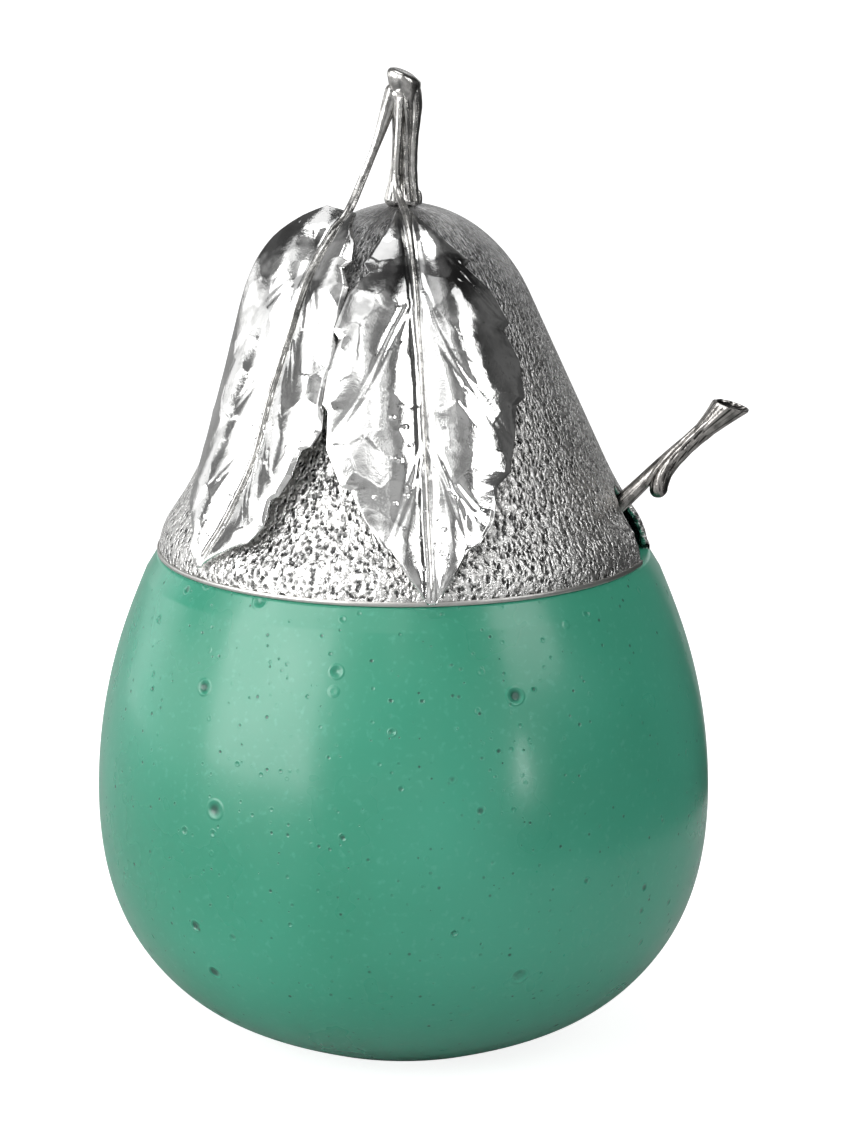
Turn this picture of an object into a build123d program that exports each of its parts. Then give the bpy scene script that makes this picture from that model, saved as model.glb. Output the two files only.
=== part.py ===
from build123d import *
from math import cos, hypot, radians, sin, sqrt, tan
import os

# All sizes are in millimetres and all angles in degrees
# The origin is on the pot's axis, at the plane that the foot stands on, with +Z up
# The spoon leaves towards +X, and the front leaf hangs on the -Y side

# Pot: a thrown and glazed stoneware bowl with a short neck
FOOT_RADIUS = 19.0
HEEL_RADIUS = 33.2
HEEL_HEIGHT = 6.2
LOWER_RADIUS = 45.9
LOWER_HEIGHT = 20.0
BELLY_RADIUS = 50.4
BELLY_HEIGHT = 44.0
UPPER_RADIUS = 46.4
UPPER_HEIGHT = 68.0
SEAT_RADIUS = 41.0
SEAT_HEIGHT = 82.0
SEAT_EDGE_ROUND = 0.8
POT_WALL = 5.0
FLOOR_THICKNESS = 6.0
SHOULDER_THICKNESS = 6.0
NECK_OUTER_RADIUS = 35.3
NECK_WALL = 3.3
NECK_RISE = 1.9
NECK_ROOT_ROUND = 0.6

# Lid: one raised sheet, with a rolled rim, a flare, a straight cone and a domed crown
LID_SHEET = 0.9
LID_RIM_INSET = 0.8
RIM_ROLL_RADIUS = 10.5
RIM_ROLL_ANGLE = 35.0
FLARE_RADIUS = 55.0
CONE_ANGLE = 24.2
CONE_TOP_RISE = 43.0
LID_RISE = 57.8
CROWN_FLAT_RADIUS = 3.0
BAND_HEIGHT = 0.8
BAND_THICKNESS = 0.3

# Spoon notch: an arch in the lid's rim, open at the bottom
SPOON_SIDE_ANGLE = -7.5
NOTCH_WIDTH = 11.4
NOTCH_HEIGHT = 11.9

# Stem: a cast twig that is bolted through the crown
STEM_RISE = 21.9
STEM_FOOT_DIAMETER = 4.9
STEM_WAIST_DIAMETER = 4.1
STEM_KNOB_DIAMETER = 5.6
STEM_LEAN = 0.35
STEM_CUT_ANGLE = 14.0
STUD_DIAMETER = 3.0
STUD_CLEARANCE = 0.05
STUD_END = 0.8
WASHER_DIAMETER = 5.6
WASHER_THICKNESS = 0.6
NUT_ACROSS_FLATS = 5.5
NUT_THICKNESS = 2.4

# Leaves: sheets that hang over the lid, each placed by the rise above the seat, the turn
# and the standoff of its base and of its tip, where a turn of zero faces -Y and +X is positive
LEAF_SHEET = 0.8
LEAF_ROLL = 0.05
LEAF_START = 2.0
FRONT_BASE = (57.3, -3.5, 1.3)
FRONT_TIP = (1.2, 6.3, 1.3)
LEFT_BASE = (56.1, -70.0, 2.9)
LEFT_TIP = (2.5, -53.6, 1.5)

# Leaf outlines: distance from the base towards the tip, then distance to the side
FRONT_MIDRIB = ((0, 0), (34, 0.3), (69, 0))
FRONT_LEFT_SIDE = (
    (2, 1.2), (5.1, 2.5), (9.7, 5.5), (12.9, 7.8), (14.6, 7.3), (18.4, 10.7), (23.9, 13.5),
    (25.6, 12.6), (30.5, 14.6), (35.7, 15.7), (37.0, 14.9), (43, 15.5), (49.0, 13.6),
    (50, 12), (54.9, 10), (59.5, 7.4), (60.4, 6), (64.6, 3.8), (68.5, 0.7),
)
FRONT_RIGHT_SIDE = (
    (2, 1), (3.7, 1.8), (7.7, 4.7), (12.5, 9.4), (13.6, 8.6), (17.4, 12.6), (22.3, 15.5),
    (23.5, 14.4), (28.2, 16.8), (34.5, 17.3), (36.1, 15.7), (41.6, 15.1), (47.4, 13.9),
    (49.7, 11.7), (55.4, 10.7), (59.4, 8.1), (60.4, 6.1), (63.8, 4.3), (68.5, 0.7),
)
LEFT_MIDRIB = ((0, 0), (7.3, 2.7), (18.9, 3.9), (32.6, 3), (49.2, 3.7), (60, 2.1), (65, 0))
LEFT_LEFT_SIDE = (
    (1, 1.5), (4.3, 2.1), (7.1, 2.2), (10.2, 4.6), (11.4, 4.4), (14.2, 7.5), (15.8, 7.4),
    (18.9, 10.2), (28.6, 12.2), (38.7, 14), (45.3, 12.9), (51.2, 11.6), (54.5, 9.8),
    (57.4, 6.4), (59.4, 3.9), (61.8, 3.4), (64.6, 0.6),
)
LEFT_RIGHT_SIDE = (
    (1, 1.5), (2, 3.3), (5, 5.7), (7.5, 8.5), (10.6, 10.2), (12, 9.5), (14.9, 12.1),
    (22.2, 13.6), (30.3, 14.9), (38.5, 17.6), (41.4, 17), (42.4, 15.6), (46.9, 15.5),
    (50.5, 14.1), (51.4, 12.6), (55.6, 12.7), (59, 10.4), (60.2, 7.6), (64.6, 0.7),
)

# Leaf lift: distance from the base towards the tip, then standoff from the lid's skin
MIDRIB_LIFT = ((0, 1.4), (6, 2.1), (56, 2.1), (70, 1.4))
FRONT_LEFT_LIFT = ((0, 1.6), (10, 3.2), (24, 5.5), (38, 5.3), (60, 2.8), (70, 1.4))
FRONT_RIGHT_LIFT = ((0, 1.6), (12, 2.6), (58, 2.6), (70, 1.4))
LEFT_LEFT_LIFT = ((0, 3.2), (10, 7), (19, 5.8), (29, 4), (40, 1.8), (52, 1.4), (66, 1.4))
LEFT_RIGHT_LIFT = ((0, 2.4), (30, 3.4), (40, 5), (48, 4.8), (58, 3), (66, 1.5))

# Leaf stalks: round wires from the stem that run on down each leaf as its midrib
STALK_DIAMETER = 1.25
MIDRIB_DIAMETER = 1.7
MIDRIB_TIP_DIAMETER = 0.9
MIDRIB_SINK = 0.4
MIDRIB_STEPS = 9
FRONT_STALK_TOP = (-0.5, -2.7, 17.0)
FRONT_STALK_BEND = (-1.1, -3.2, 4.5)
LEFT_STALK_TOP = (-2.3, -0.2, 16.0)

# Spoon: a twig-shaped handle that leans on the neck, with an oval bowl
SPOON_ELEVATION = 43.0
SPOON_REST_CLEARANCE = 0.25
SHANK_DIAMETER = 3.5
TWIG_END_DIAMETER = 3.1
HEAD_DIAMETER = 5.2
HEAD_LENGTH = 5.0
HANDLE_RISE = 31.0
HEAD_CUT_ANGLE = 31.0
HEAD_DISH_DEPTH = 0.6
HEAD_DISH_RIM = 0.8
KNOT_DIAMETER = 4.4
KNOT_PLACE = 12.6
STUB_DIAMETER = 2.6
STUB_LENGTH = 3.9
STUB_LEAN = 30.0
BOWL_LENGTH = 36.0
BOWL_WIDTH = 24.0
BOWL_DEPTH = 5.0
BOWL_WALL = 1.2
BOWL_TIP_GAP = 1.2
BOWL_JOIN = 1.6
SHANK_END_DIAMETER = 3.0

# Sizes that follow from the ones above
NECK_INNER_RADIUS = NECK_OUTER_RADIUS - NECK_WALL
LIP_RADIUS = NECK_WALL / 2
LIP_CENTRE_RADIUS = NECK_OUTER_RADIUS - LIP_RADIUS
LIP_CENTRE_HEIGHT = SEAT_HEIGHT + NECK_RISE
LID_RIM_RADIUS = SEAT_RADIUS - LID_RIM_INSET
ROLL_SINE = sin(radians(RIM_ROLL_ANGLE))
ROLL_COSINE = cos(radians(RIM_ROLL_ANGLE))
CONE_SINE = sin(radians(CONE_ANGLE))
CONE_COSINE = cos(radians(CONE_ANGLE))
CONE_SLOPE = tan(radians(CONE_ANGLE))
FLARE_START_RADIUS = LID_RIM_RADIUS - RIM_ROLL_RADIUS * (1 - ROLL_COSINE)
FLARE_START_RISE = RIM_ROLL_RADIUS * ROLL_SINE
CONE_START_RADIUS = FLARE_START_RADIUS - FLARE_RADIUS * (CONE_COSINE - ROLL_COSINE)
CONE_START_RISE = FLARE_START_RISE + FLARE_RADIUS * (ROLL_SINE - CONE_SINE)
CROWN_START_RADIUS = CONE_START_RADIUS - (CONE_TOP_RISE - CONE_START_RISE) * CONE_SLOPE
CROWN_RISE = LID_RISE - CONE_TOP_RISE
CROWN_BELOW = CROWN_RISE**2 / (CROWN_START_RADIUS / CONE_SLOPE - 2 * CROWN_RISE)
CROWN_HALF_HEIGHT = CROWN_RISE + CROWN_BELOW
CROWN_HALF_WIDTH = CROWN_HALF_HEIGHT * sqrt(CONE_SLOPE * CROWN_START_RADIUS / CROWN_BELOW)
CROWN_CENTRE_RISE = CONE_TOP_RISE - CROWN_BELOW
CROWN_FLAT_LEVEL = sqrt(1 - (CROWN_FLAT_RADIUS / CROWN_HALF_WIDTH) ** 2)
CROWN_FLAT_RISE = CROWN_CENTRE_RISE + CROWN_HALF_HEIGHT * CROWN_FLAT_LEVEL
CROWN_TOP = SEAT_HEIGHT + CROWN_FLAT_RISE
REST_DISTANCE = LIP_RADIUS + SPOON_REST_CLEARANCE + SHANK_DIAMETER / 2
REST_RADIUS = LIP_CENTRE_RADIUS - REST_DISTANCE * sin(radians(SPOON_ELEVATION))
REST_HEIGHT = LIP_CENTRE_HEIGHT + REST_DISTANCE * cos(radians(SPOON_ELEVATION))
SPOON_PLANE = (
    Rot(0, 0, SPOON_SIDE_ANGLE)
    * Pos(REST_RADIUS, 0, REST_HEIGHT)
    * Rot(0, -SPOON_ELEVATION, 0)
)




# Helpers
def along(points, place):
    """The second value of a list of pairs, read off in a straight line at a first value."""
    for (start, low), (end, high) in zip(points, points[1:]):
        if place <= end:
            share = max(0, place - start) / (end - start)
            return low + (high - low) * share
    return points[-1][1]


def lid_skin(rise):
    """Radius of the lid's outer skin at a rise above the seat, with its outward normal."""
    if rise <= FLARE_START_RISE:
        lean = max(0, rise) / RIM_ROLL_RADIUS
        radius = LID_RIM_RADIUS - RIM_ROLL_RADIUS * (1 - sqrt(1 - lean**2))
    elif rise <= CONE_START_RISE:
        lean = ROLL_SINE - (rise - FLARE_START_RISE) / FLARE_RADIUS
        radius = FLARE_START_RADIUS - FLARE_RADIUS * (sqrt(1 - lean**2) - ROLL_COSINE)
    elif rise <= CONE_TOP_RISE:
        lean = CONE_SINE
        radius = CONE_START_RADIUS - (rise - CONE_START_RISE) * CONE_SLOPE
    else:
        level = (rise - CROWN_CENTRE_RISE) / CROWN_HALF_HEIGHT
        radius = CROWN_HALF_WIDTH * sqrt(1 - level**2)
        slope = level / CROWN_HALF_HEIGHT
        lean = slope / hypot(slope, radius / CROWN_HALF_WIDTH**2)
    return radius, sqrt(1 - lean**2), lean


def skin_spot(rise, depth=0):
    """Radius and height of a spot sunk by a depth below the lid's skin."""
    radius, outward, upward = lid_skin(rise)
    return radius - depth * outward, SEAT_HEIGHT + rise - depth * upward


def off_lid(rise, turn, standoff):
    """The point at a turn about the axis that stands off the lid's skin."""
    reach, height = skin_spot(rise, -standoff)
    return Vector(reach * sin(radians(turn)), -reach * cos(radians(turn)), height)


def height_off_lid(point):
    """How far a point outside the lid stands off its skin."""
    reach = hypot(point.X, point.Y)
    low = 0.0
    high = CROWN_FLAT_RISE
    for _ in range(30):
        middle = (low + high) / 2
        radius, outward, upward = lid_skin(middle)
        across = reach - radius
        above = point.Z - SEAT_HEIGHT - middle
        if above * outward > across * upward:
            low = middle
        else:
            high = middle
    return across * outward + above * upward


def turned(outline):
    """A solid of revolution about the pot's axis, with its seam at the back."""
    return Rot(0, 0, 90) * revolve(Plane.XZ * make_face(outline), Axis.Z)


def rod(stations):
    """A round rod through points, with a diameter at each of them."""
    circles = []
    for index, (point, diameter) in enumerate(stations):
        before = Vector(stations[max(0, index - 1)][0])
        after = Vector(stations[min(len(stations) - 1, index + 1)][0])
        plane = Plane(origin=point, x_dir=(1, 0, 0.1), z_dir=after - before)
        circles.append(plane * Circle(diameter / 2))
    return loft(circles, ruled=True)


def largest(shape):
    """The largest solid of a shape that a cut has parted."""
    return shape.solids().sort_by(SortBy.VOLUME)[-1]


# Pot
def pot():
    """The bowl, with a flat foot, a seat for the lid and a neck with a round lip."""
    outer = Spline(
        (FOOT_RADIUS, 0),
        (HEEL_RADIUS, HEEL_HEIGHT),
        (LOWER_RADIUS, LOWER_HEIGHT),
        (BELLY_RADIUS, BELLY_HEIGHT),
        (UPPER_RADIUS, UPPER_HEIGHT),
        (SEAT_RADIUS, SEAT_HEIGHT),
    )
    inner_points = [(0, FLOOR_THICKNESS), (FOOT_RADIUS, FLOOR_THICKNESS)]
    for place in (0.3, 0.4, 0.5, 0.6, 0.7, 0.8):
        spot = outer @ place
        travel = outer % place
        inner_points.append((spot.X - POT_WALL * travel.Y, spot.Y + POT_WALL * travel.X))
    inner_points.append((NECK_INNER_RADIUS, SEAT_HEIGHT - SHOULDER_THICKNESS))
    inner = Spline(inner_points, tangents=((1, 0), (-1, 1)))
    lip_inside = (NECK_INNER_RADIUS, LIP_CENTRE_HEIGHT)
    lip_top = (LIP_CENTRE_RADIUS, LIP_CENTRE_HEIGHT + LIP_RADIUS)
    lip_outside = (NECK_OUTER_RADIUS, LIP_CENTRE_HEIGHT)
    neck_root = (NECK_OUTER_RADIUS, SEAT_HEIGHT)
    body = turned([
        Line((0, 0), outer @ 0),
        outer,
        Line(outer @ 1, neck_root),
        Line(neck_root, lip_outside),
        ThreePointArc(lip_outside, lip_top, lip_inside),
        Line(lip_inside, inner @ 1),
        inner,
        Line((0, FLOOR_THICKNESS), (0, 0)),
    ])
    body = rounded(body, SEAT_RADIUS, SEAT_EDGE_ROUND)
    return rounded(body, NECK_OUTER_RADIUS, NECK_ROOT_ROUND)


def rounded(body, radius, size):
    """The pot with the round edge of that radius at seat height filleted."""
    edges = []
    for edge in body.edges().filter_by(GeomType.CIRCLE):
        at_seat = abs(edge.center().Z - SEAT_HEIGHT) < 0.01
        if at_seat and abs(edge.radius - radius) < 0.01:
            edges.append(edge)
    return fillet(edges, size)


# Lid
def lid_outline(depth):
    """The lid's skin from rim to crown, sunk by a depth, as one run of edges."""
    middle = (FLARE_START_RISE + CONE_START_RISE) / 2
    roll_end = skin_spot(FLARE_START_RISE, depth)
    flare_end = skin_spot(CONE_START_RISE, depth)
    cone_end = skin_spot(CONE_TOP_RISE, depth)
    crown = [cone_end]
    for share in (0.25, 0.5, 0.7, 0.85, 0.95, 1):
        rise = CONE_TOP_RISE + (CROWN_FLAT_RISE - CONE_TOP_RISE) * share
        crown.append(skin_spot(rise, depth))
    return [
        ThreePointArc(skin_spot(0, depth), skin_spot(FLARE_START_RISE / 2, depth), roll_end),
        ThreePointArc(roll_end, skin_spot(middle, depth), flare_end),
        Line(flare_end, cone_end),
        Spline(crown),
    ]


def notch():
    """The arch that lets the spoon out under the lid's rim."""
    arch = Ellipse(NOTCH_WIDTH / 2, NOTCH_HEIGHT)
    across = Plane(origin=(0, 0, SEAT_HEIGHT), x_dir=(0, 1, 0), z_dir=(1, 0, 0))
    return Rot(0, 0, SPOON_SIDE_ANGLE) * extrude(across * arch, SEAT_RADIUS)


def lid_shell():
    """The raised sheet, with a hole for the stem's stud and the spoon's notch."""
    hole = STUD_DIAMETER / 2 + STUD_CLEARANCE
    outer = lid_outline(0)
    inner = lid_outline(LID_SHEET)
    top = outer[-1] @ 1
    under = inner[-1] @ 1
    sheet = turned([
        *outer,
        Line(top, (hole, top.Y)),
        Line((hole, top.Y), (hole, under.Y)),
        Line((hole, under.Y), under),
        *inner,
        Line(inner[0] @ 0, outer[0] @ 0),
    ])
    return sheet - notch()


def lid_rim_band():
    """A plain wire band around the rim, open at the spoon's notch."""
    outside = LID_RIM_RADIUS + BAND_THICKNESS
    band = extrude(Circle(outside) - Circle(LID_RIM_RADIUS), BAND_HEIGHT)
    return Pos(0, 0, SEAT_HEIGHT) * band - notch() - lid_shell()


# Stem and its fixing
def stem():
    """The cast twig, with the stud that goes down through the crown."""
    places = (
        (0, 0, STEM_FOOT_DIAMETER),
        (0.12, 0, STEM_FOOT_DIAMETER - 0.5),
        (0.4, STEM_LEAN, STEM_WAIST_DIAMETER),
        (0.7, STEM_LEAN, STEM_WAIST_DIAMETER),
        (0.88, -STEM_LEAN, STEM_KNOB_DIAMETER),
        (1.1, -STEM_LEAN, STEM_KNOB_DIAMETER),
    )
    stations = []
    for share, lean, diameter in places:
        stations.append(((lean, 0, CROWN_TOP + share * STEM_RISE), diameter))
    cut = Plane((0, 0, CROWN_TOP + STEM_RISE)) * Rot(0, STEM_CUT_ANGLE, 0)
    twig = rod(stations) - cut * Pos(0, 0, STEM_RISE) * Box(STEM_RISE, STEM_RISE, 2 * STEM_RISE)
    stud_length = LID_SHEET + WASHER_THICKNESS + NUT_THICKNESS + STUD_END
    stud = Cylinder(STUD_DIAMETER / 2, stud_length, align=(Align.CENTER, Align.CENTER, Align.MAX))
    return twig + Pos(0, 0, CROWN_TOP) * stud


def stem_washer():
    """The flat washer under the crown."""
    ring = Circle(WASHER_DIAMETER / 2) - Circle(STUD_DIAMETER / 2 + STUD_CLEARANCE)
    return Pos(0, 0, lid_underside()) * extrude(ring, -WASHER_THICKNESS)


def stem_nut():
    """The hexagon nut that holds the stem down."""
    hexagon = RegularPolygon(NUT_ACROSS_FLATS / 2, 6, major_radius=False)
    ring = hexagon - Circle(STUD_DIAMETER / 2 + STUD_CLEARANCE)
    return Pos(0, 0, lid_underside() - WASHER_THICKNESS) * extrude(ring, -NUT_THICKNESS)


def lid_underside():
    """Height of the flat underside of the crown."""
    return skin_spot(CROWN_FLAT_RISE, LID_SHEET)[1]


# Leaves
def leaf_plane(base, tip):
    """A leaf's own plane: X from base to tip, Y to the side and Z away from the lid."""
    start = off_lid(*base)
    run = off_lid(*tip) - start
    side = Vector(0, 0, 1).cross(run)
    return Plane(origin=start, x_dir=run, z_dir=run.cross(side))


def on_leaf(plane, place, side, lift):
    """The point of a leaf at a place and a side that stands off the lid by a lift."""
    low = -LID_RIM_RADIUS
    high = LID_RIM_RADIUS
    for _ in range(30):
        middle = (low + high) / 2
        if height_off_lid(plane.from_local_coords(Vector(place, side, middle))) < lift:
            low = middle
        else:
            high = middle
    return Vector(place, side, middle)


def leaf(plane, midrib, sides, lifts):
    """A leaf's sheet: a valley along the midrib, rolled halves and a toothed outline."""
    places = sorted({place for side in sides for place, _ in side if place >= LEAF_START})
    sections = []
    for place in places:
        centre = along(midrib, place)
        ridge = along(MIDRIB_LIFT, place)
        row = [on_leaf(plane, place, centre, ridge)]
        for direction, side, lift in zip((-1, 1), sides, lifts):
            edge = direction * along(side, place)
            if direction * (edge - centre) < LEAF_SHEET:
                edge = centre + direction * LEAF_SHEET
            rolled = (ridge + along(lift, place)) / 2 + LEAF_ROLL * abs(edge - centre)
            half = on_leaf(plane, place, (edge + centre) / 2, rolled)
            rim = on_leaf(plane, place, edge, along(lift, place))
            row = [rim, half, *row] if direction < 0 else [*row, half, rim]
        back = [spot - Vector(0, 0, LEAF_SHEET) for spot in reversed(row)]
        outline = [plane.from_local_coords(spot) for spot in row + back]
        sections.append(Wire.make_polygon(outline))
    return Solid.make_loft(sections, ruled=True)


def stalk(plane, midrib, start, length):
    """A leaf's stalk and the tapered midrib that runs down its sheet."""
    stations = [(point, STALK_DIAMETER) for point in start]
    for step in range(MIDRIB_STEPS + 1):
        share = step / MIDRIB_STEPS
        place = LEAF_START + share * (length - LEAF_START)
        diameter = MIDRIB_DIAMETER + (MIDRIB_TIP_DIAMETER - MIDRIB_DIAMETER) * share
        spot = on_leaf(plane, place, along(midrib, place), along(MIDRIB_LIFT, place))
        spot += Vector(0, 0, diameter / 2 - MIDRIB_SINK)
        stations.append((plane.from_local_coords(spot), diameter))
    return rod(stations)


def front_leaf():
    """The leaf that hangs down the front of the lid."""
    sides = (FRONT_LEFT_SIDE, FRONT_RIGHT_SIDE)
    lifts = (FRONT_LEFT_LIFT, FRONT_RIGHT_LIFT)
    return leaf(leaf_plane(FRONT_BASE, FRONT_TIP), FRONT_MIDRIB, sides, lifts)


def front_leaf_stalk():
    """The front leaf's stalk, which runs down the face of the stem."""
    plane = leaf_plane(FRONT_BASE, FRONT_TIP)
    top = Vector(*FRONT_STALK_TOP) + Vector(0, 0, CROWN_TOP)
    bend = Vector(*FRONT_STALK_BEND) + Vector(0, 0, CROWN_TOP)
    wire = stalk(plane, FRONT_MIDRIB, (top, bend), FRONT_LEFT_SIDE[-2][0])
    return largest(wire - stem() - front_leaf())


def left_leaf():
    """The leaf that hangs down the left side of the lid."""
    sides = (LEFT_LEFT_SIDE, LEFT_RIGHT_SIDE)
    lifts = (LEFT_LEFT_LIFT, LEFT_RIGHT_LIFT)
    return leaf(leaf_plane(LEFT_BASE, LEFT_TIP), LEFT_MIDRIB, sides, lifts)


def left_leaf_stalk():
    """The left leaf's stalk, which stands clear of the stem below its top."""
    plane = leaf_plane(LEFT_BASE, LEFT_TIP)
    top = Vector(*LEFT_STALK_TOP) + Vector(0, 0, CROWN_TOP)
    wire = stalk(plane, LEFT_MIDRIB, (top,), LEFT_LEFT_SIDE[-2][0])
    return largest(wire - stem() - left_leaf())


# Spoon
def bowl_reach():
    """How far down the handle's line the bowl's tip lies, a gap short of the pot's wall."""
    inside = (
        (HEEL_HEIGHT, HEEL_RADIUS - POT_WALL),
        (LOWER_HEIGHT, LOWER_RADIUS - POT_WALL),
        (BELLY_HEIGHT, BELLY_RADIUS - POT_WALL),
    )
    low = REST_RADIUS
    high = REST_HEIGHT / sin(radians(SPOON_ELEVATION))
    for _ in range(30):
        middle = (low + high) / 2
        across = middle * cos(radians(SPOON_ELEVATION)) - REST_RADIUS
        height = REST_HEIGHT - middle * sin(radians(SPOON_ELEVATION))
        if across + BOWL_TIP_GAP < along(inside, height):
            low = middle
        else:
            high = middle
    return low


def spoon_bowl():
    """The oval bowl, open upwards."""
    outer = scale(Sphere(1), by=(BOWL_LENGTH / 2, BOWL_WIDTH / 2, BOWL_DEPTH))
    hollow = (BOWL_LENGTH / 2 - BOWL_WALL, BOWL_WIDTH / 2 - BOWL_WALL, BOWL_DEPTH - BOWL_WALL)
    shell = outer - scale(Sphere(1), by=hollow)
    above = (Align.CENTER, Align.CENTER, Align.MIN)
    shell -= Box(2 * BOWL_LENGTH, BOWL_LENGTH, BOWL_LENGTH, align=above)
    return SPOON_PLANE * Pos(BOWL_LENGTH / 2 - bowl_reach(), 0, 0) * shell


def spoon_handle():
    """The twig-shaped handle, with a knot, a pruned stub and a slanting dished end."""
    join = BOWL_LENGTH - bowl_reach() - BOWL_JOIN
    twig = rod([
        ((join, 0, 0), SHANK_END_DIAMETER),
        ((join / 2, 0, 0), SHANK_DIAMETER),
        ((0, 0, 0), SHANK_DIAMETER),
        ((KNOT_PLACE - KNOT_DIAMETER / 2, 0, 0), SHANK_DIAMETER),
        ((KNOT_PLACE, 0, 0), KNOT_DIAMETER),
        ((KNOT_PLACE + KNOT_DIAMETER / 2, 0, 0), SHANK_DIAMETER),
        ((HANDLE_RISE - HEAD_LENGTH, 0, 0), TWIG_END_DIAMETER),
        ((HANDLE_RISE, 0, 0), HEAD_DIAMETER),
        ((HANDLE_RISE + HEAD_LENGTH, 0, 0), HEAD_DIAMETER),
    ])
    cut = Pos(HANDLE_RISE, 0, 0) * Rot(0, 90 - HEAD_CUT_ANGLE, 0)
    beyond = (Align.CENTER, Align.CENTER, Align.MIN)
    twig -= cut * Box(4 * HEAD_LENGTH, 4 * HEAD_LENGTH, 4 * HEAD_LENGTH, align=beyond)
    length = HEAD_DIAMETER / cos(radians(HEAD_CUT_ANGLE)) / 2 - HEAD_DISH_RIM
    dish = Ellipse(length, HEAD_DIAMETER / 2 - HEAD_DISH_RIM)
    twig -= cut * extrude(dish, -HEAD_DISH_DEPTH)
    down = Vector(-sin(radians(STUB_LEAN)), 0, -cos(radians(STUB_LEAN)))
    start = Vector(KNOT_PLACE, 0, 0)
    twig += rod([(start, SHANK_DIAMETER), (start + down * STUB_LENGTH, STUB_DIAMETER)])
    return largest(SPOON_PLANE * twig - spoon_bowl())


NODES = {
    "pot": pot,
    "lid_shell": lid_shell,
    "lid_rim_band": lid_rim_band,
    "stem": stem,
    "stem_washer": stem_washer,
    "stem_nut": stem_nut,
    "front_leaf": front_leaf,
    "front_leaf_stalk": front_leaf_stalk,
    "left_leaf": left_leaf,
    "left_leaf_stalk": left_leaf_stalk,
    "spoon_bowl": spoon_bowl,
    "spoon_handle": spoon_handle,
}

os.makedirs("parts", exist_ok=True)
for name, make in NODES.items():
    export_step(make(), f"parts/{name}.step")
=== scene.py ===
import math

import bmesh
import bpy
import numpy as np
from mathutils import Matrix, Vector

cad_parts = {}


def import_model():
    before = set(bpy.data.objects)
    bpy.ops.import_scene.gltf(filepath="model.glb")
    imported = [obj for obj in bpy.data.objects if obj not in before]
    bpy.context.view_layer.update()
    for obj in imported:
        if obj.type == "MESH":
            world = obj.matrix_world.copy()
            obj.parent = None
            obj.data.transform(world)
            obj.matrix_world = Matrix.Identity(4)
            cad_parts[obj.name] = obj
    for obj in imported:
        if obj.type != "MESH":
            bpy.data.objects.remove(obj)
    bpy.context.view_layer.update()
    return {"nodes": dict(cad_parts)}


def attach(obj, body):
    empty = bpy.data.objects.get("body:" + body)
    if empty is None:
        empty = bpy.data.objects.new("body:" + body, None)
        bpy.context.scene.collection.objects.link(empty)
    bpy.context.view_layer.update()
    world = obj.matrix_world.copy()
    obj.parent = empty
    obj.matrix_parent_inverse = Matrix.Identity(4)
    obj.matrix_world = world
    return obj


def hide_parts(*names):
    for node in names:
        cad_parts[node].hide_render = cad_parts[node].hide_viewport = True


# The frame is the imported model; shapes below are worked out in millimetres
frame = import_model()
MM = 0.001
WELD_DISTANCE = 2e-7
END_PINCH = 0.02

# Pot
FOOT_RADIUS = 19.0
HEEL = (33.2, 6.2)
LOWER = (45.9, 20.0)
BELLY = (50.4, 44.0)
UPPER = (46.4, 68.0)
SEAT_RADIUS = 41.0
SEAT_HEIGHT = 82.0
SEAT_ROUND = 0.8
POT_WALL = 5.0
FLOOR = 6.0
SHOULDER = 6.0
NECK_OUTER = 35.3
NECK_INNER = 32.0
NECK_RISE = 1.9
LIP_RADIUS = (NECK_OUTER - NECK_INNER) / 2
POT_COLUMNS = 320
OUTER_SAMPLES = 400
BODY_SAMPLES = 150
INNER_SAMPLES = 70

# Lid
LID_SHEET = 0.9
RIM_RADIUS = 40.2
ROLL_RADIUS = 10.5
ROLL_ANGLE = math.radians(35)
FLARE_RADIUS = 55.0
CONE_ANGLE = math.radians(24.2)
CONE_TOP = 43.0
LID_RISE = 57.8
CROWN_FLAT = 3.0
BAND_HEIGHT = 0.8
BAND_THICKNESS = 0.3
NOTCH_TURN = math.radians(-7.5)
NOTCH_HALF_WIDTH = 5.7
NOTCH_HEIGHT = 11.9
STUD_HOLE = 1.55
LID_COLUMNS = 400
LID_ROWS = 120
BAND_STATIONS = 400

ROLL_SINE, ROLL_COSINE = math.sin(ROLL_ANGLE), math.cos(ROLL_ANGLE)
CONE_SINE, CONE_COSINE = math.sin(CONE_ANGLE), math.cos(CONE_ANGLE)
CONE_SLOPE = math.tan(CONE_ANGLE)
FLARE_RISE = ROLL_RADIUS * ROLL_SINE
FLARE_START = RIM_RADIUS - ROLL_RADIUS * (1 - ROLL_COSINE)
CONE_RISE = FLARE_RISE + FLARE_RADIUS * (ROLL_SINE - CONE_SINE)
CONE_START = FLARE_START - FLARE_RADIUS * (CONE_COSINE - ROLL_COSINE)
CROWN_START = CONE_START - (CONE_TOP - CONE_RISE) * CONE_SLOPE
CROWN_RISE = LID_RISE - CONE_TOP
CROWN_BELOW = CROWN_RISE**2 / (CROWN_START / CONE_SLOPE - 2 * CROWN_RISE)
CROWN_TALL = CROWN_RISE + CROWN_BELOW
CROWN_WIDE = CROWN_TALL * math.sqrt(CONE_SLOPE * CROWN_START / CROWN_BELOW)
CROWN_MIDDLE = CONE_TOP - CROWN_BELOW
FLAT_RISE = CROWN_MIDDLE + CROWN_TALL * math.sqrt(1 - (CROWN_FLAT / CROWN_WIDE) ** 2)
CROWN_TOP = SEAT_HEIGHT + FLAT_RISE


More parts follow.
